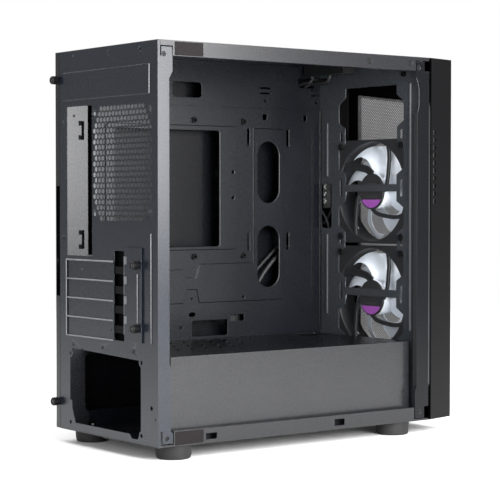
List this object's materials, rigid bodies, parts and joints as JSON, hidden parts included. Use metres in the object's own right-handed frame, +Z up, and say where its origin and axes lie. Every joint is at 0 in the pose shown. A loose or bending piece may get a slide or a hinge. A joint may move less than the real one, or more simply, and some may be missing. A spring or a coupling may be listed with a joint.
{
  "type": "desktop computer tower",
  "caption": "Steel micro-ATX computer tower with an open left side, mesh front panel, front fans, power supply shroud and a removable right side panel.",
  "frame": {"origin": "centre of the overall box, on the plane the feet stand on", "axes": "+Z up, +Y out of the rear face, -Y out of the front panel, -X out of the open left side"},
  "size_m": [0.1986, 0.419, 0.4236],
  "materials": {
    "steel_rear": "fine powder coat, dark blue-grey",
    "steel_outer": "fine powder coat, near black",
    "steel_front": "fine powder coat, near black",
    "steel_inner": "fine powder coat, dark grey",
    "steel_shroud": "fine powder coat, dark grey",
    "foot_plastic": "moulded, dark grey",
    "zinc": "zinc plated",
    "black_screw": "black oxide",
    "foam": "closed-cell foam",
    "black_plastic": "moulded, black",
    "front_plastic": "fine spark texture, black",
    "circuit_board": "solder mask",
    "port_shell": "stamped",
    "fan_plastic": "moulded, black",
    "bronze": "sintered",
    "label": "printed film",
    "fan_blade": "translucent white",
    "shaft_steel": "ground",
    "cable_sleeve": "twisted leads, black",
    "blue_plug": "moulded",
    "black_nylon": "nylon",
    "mesh_steel": "fine perforated steel",
    "filter_plastic": "frame with nylon net"
  },
  "bodies": {
    "chassis": {"rear_panel": "steel_rear", "top_panel": "steel_outer", "bottom_panel": "steel_outer", "front_plate": "steel_front", "motherboard_tray": "steel_inner", "psu_shroud": "steel_shroud", "slot_cover_1": "steel_rear", "slot_cover_2": "steel_rear", "slot_cover_3": "steel_rear", "slot_cover_4": "steel_rear", "drive_cage": "steel_inner", "drive_tray_upper": "black_plastic", "drive_tray_lower": "black_plastic", "foot_front_left": "foot_plastic", "foot_front_right": "foot_plastic", "foot_rear_left": "foot_plastic", "foot_rear_right": "foot_plastic", "foot_screws": "zinc", "chassis_rivets": "black_screw", "rail_screws": "black_screw", "rail_pads": "foam", "psu_pads": "foam", "io_housing": "black_plastic", "io_board": "circuit_board", "usb_port_left": "port_shell", "usb_port_right": "port_shell", "audio_jack": "black_plastic", "fan_upper_frame": "fan_plastic", "fan_upper_bearing": "bronze", "fan_upper_label": "label", "fan_lower_frame": "fan_plastic", "fan_lower_bearing": "bronze", "fan_lower_label": "label", "fan_screws": "black_screw", "usb_cable": "cable_sleeve", "usb_plug": "blue_plug", "switch_cable": "cable_sleeve", "switch_plugs": "black_nylon", "fan_upper_cable": "cable_sleeve", "fan_lower_cable": "cable_sleeve", "fan_plugs": "black_nylon", "cable_ties": "black_nylon"},
    "fan_upper_rotor": {"fan_upper_rotor": "fan_blade", "fan_upper_shaft": "shaft_steel"},
    "fan_lower_rotor": {"fan_lower_rotor": "fan_blade", "fan_lower_shaft": "shaft_steel"},
    "power_button": {"power_button": "black_plastic"},
    "reset_button": {"reset_button": "black_plastic"},
    "side_panel": {"right_side_panel": "steel_outer"},
    "side_screw_upper": {"side_screw_upper": "black_screw"},
    "side_screw_lower": {"side_screw_lower": "black_screw"},
    "slot_lock": {"slot_lock": "steel_rear"},
    "lock_screw_upper": {"lock_screw_upper": "black_screw"},
    "lock_screw_lower": {"lock_screw_lower": "black_screw"},
    "front_panel": {"front_panel": "front_plastic", "front_mesh": "mesh_steel"},
    "top_filter": {"top_filter": "filter_plastic"},
    "psu_filter": {"psu_filter": "filter_plastic"}
  },
  "joints": [
    {"name": "fan_upper_spin", "type": "hinge", "parent": "chassis", "child": "fan_upper_rotor", "pos_m": [-0.0126, -0.16835, 0.2726], "axis": [0, 1, 0], "continuous": true},
    {"name": "fan_lower_spin", "type": "hinge", "parent": "chassis", "child": "fan_lower_rotor", "pos_m": [-0.0126, -0.16835, 0.149], "axis": [0, 1, 0], "continuous": true},
    {"name": "power_press", "type": "slide", "parent": "chassis", "child": "power_button", "axis": [0, 0, -1], "range_m": [0, 0.0014], "stiffness_N_per_m": 250},
    {"name": "reset_press", "type": "slide", "parent": "chassis", "child": "reset_button", "axis": [0, 0, -1], "range_m": [0, 0.0014], "stiffness_N_per_m": 200},
    {"name": "side_panel_slide", "type": "slide", "parent": "chassis", "child": "side_panel", "axis": [0, 1, 0], "range_m": [0, 0.02]},
    {"name": "side_screw_upper_turn", "type": "hinge", "parent": "side_panel", "child": "side_screw_upper", "pos_m": [0.0948, 0.19945, 0.392], "axis": [0, 1, 0], "continuous": true},
    {"name": "side_screw_lower_turn", "type": "hinge", "parent": "side_panel", "child": "side_screw_lower", "pos_m": [0.0948, 0.19945, 0.044], "axis": [0, 1, 0], "continuous": true},
    {"name": "slot_lock_slide", "type": "slide", "parent": "chassis", "child": "slot_lock", "axis": [0, 1, 0], "range_m": [0, 0.025]},
    {"name": "lock_screw_upper_turn", "type": "hinge", "parent": "slot_lock", "child": "lock_screw_upper", "pos_m": [-0.066, 0.20155, 0.1967], "axis": [0, 1, 0], "continuous": true},
    {"name": "lock_screw_lower_turn", "type": "hinge", "parent": "slot_lock", "child": "lock_screw_lower", "pos_m": [-0.066, 0.20155, 0.1327], "axis": [0, 1, 0], "continuous": true},
    {"name": "front_panel_pull", "type": "slide", "parent": "chassis", "child": "front_panel", "axis": [0, -1, 0], "range_m": [0, 0.06]},
    {"name": "top_filter_lift", "type": "slide", "parent": "chassis", "child": "top_filter", "axis": [0, 0, 1], "range_m": [0, 0.06]},
    {"name": "psu_filter_slide", "type": "slide", "parent": "chassis", "child": "psu_filter", "axis": [0, 1, 0], "range_m": [0, 0.15]}
  ]
}
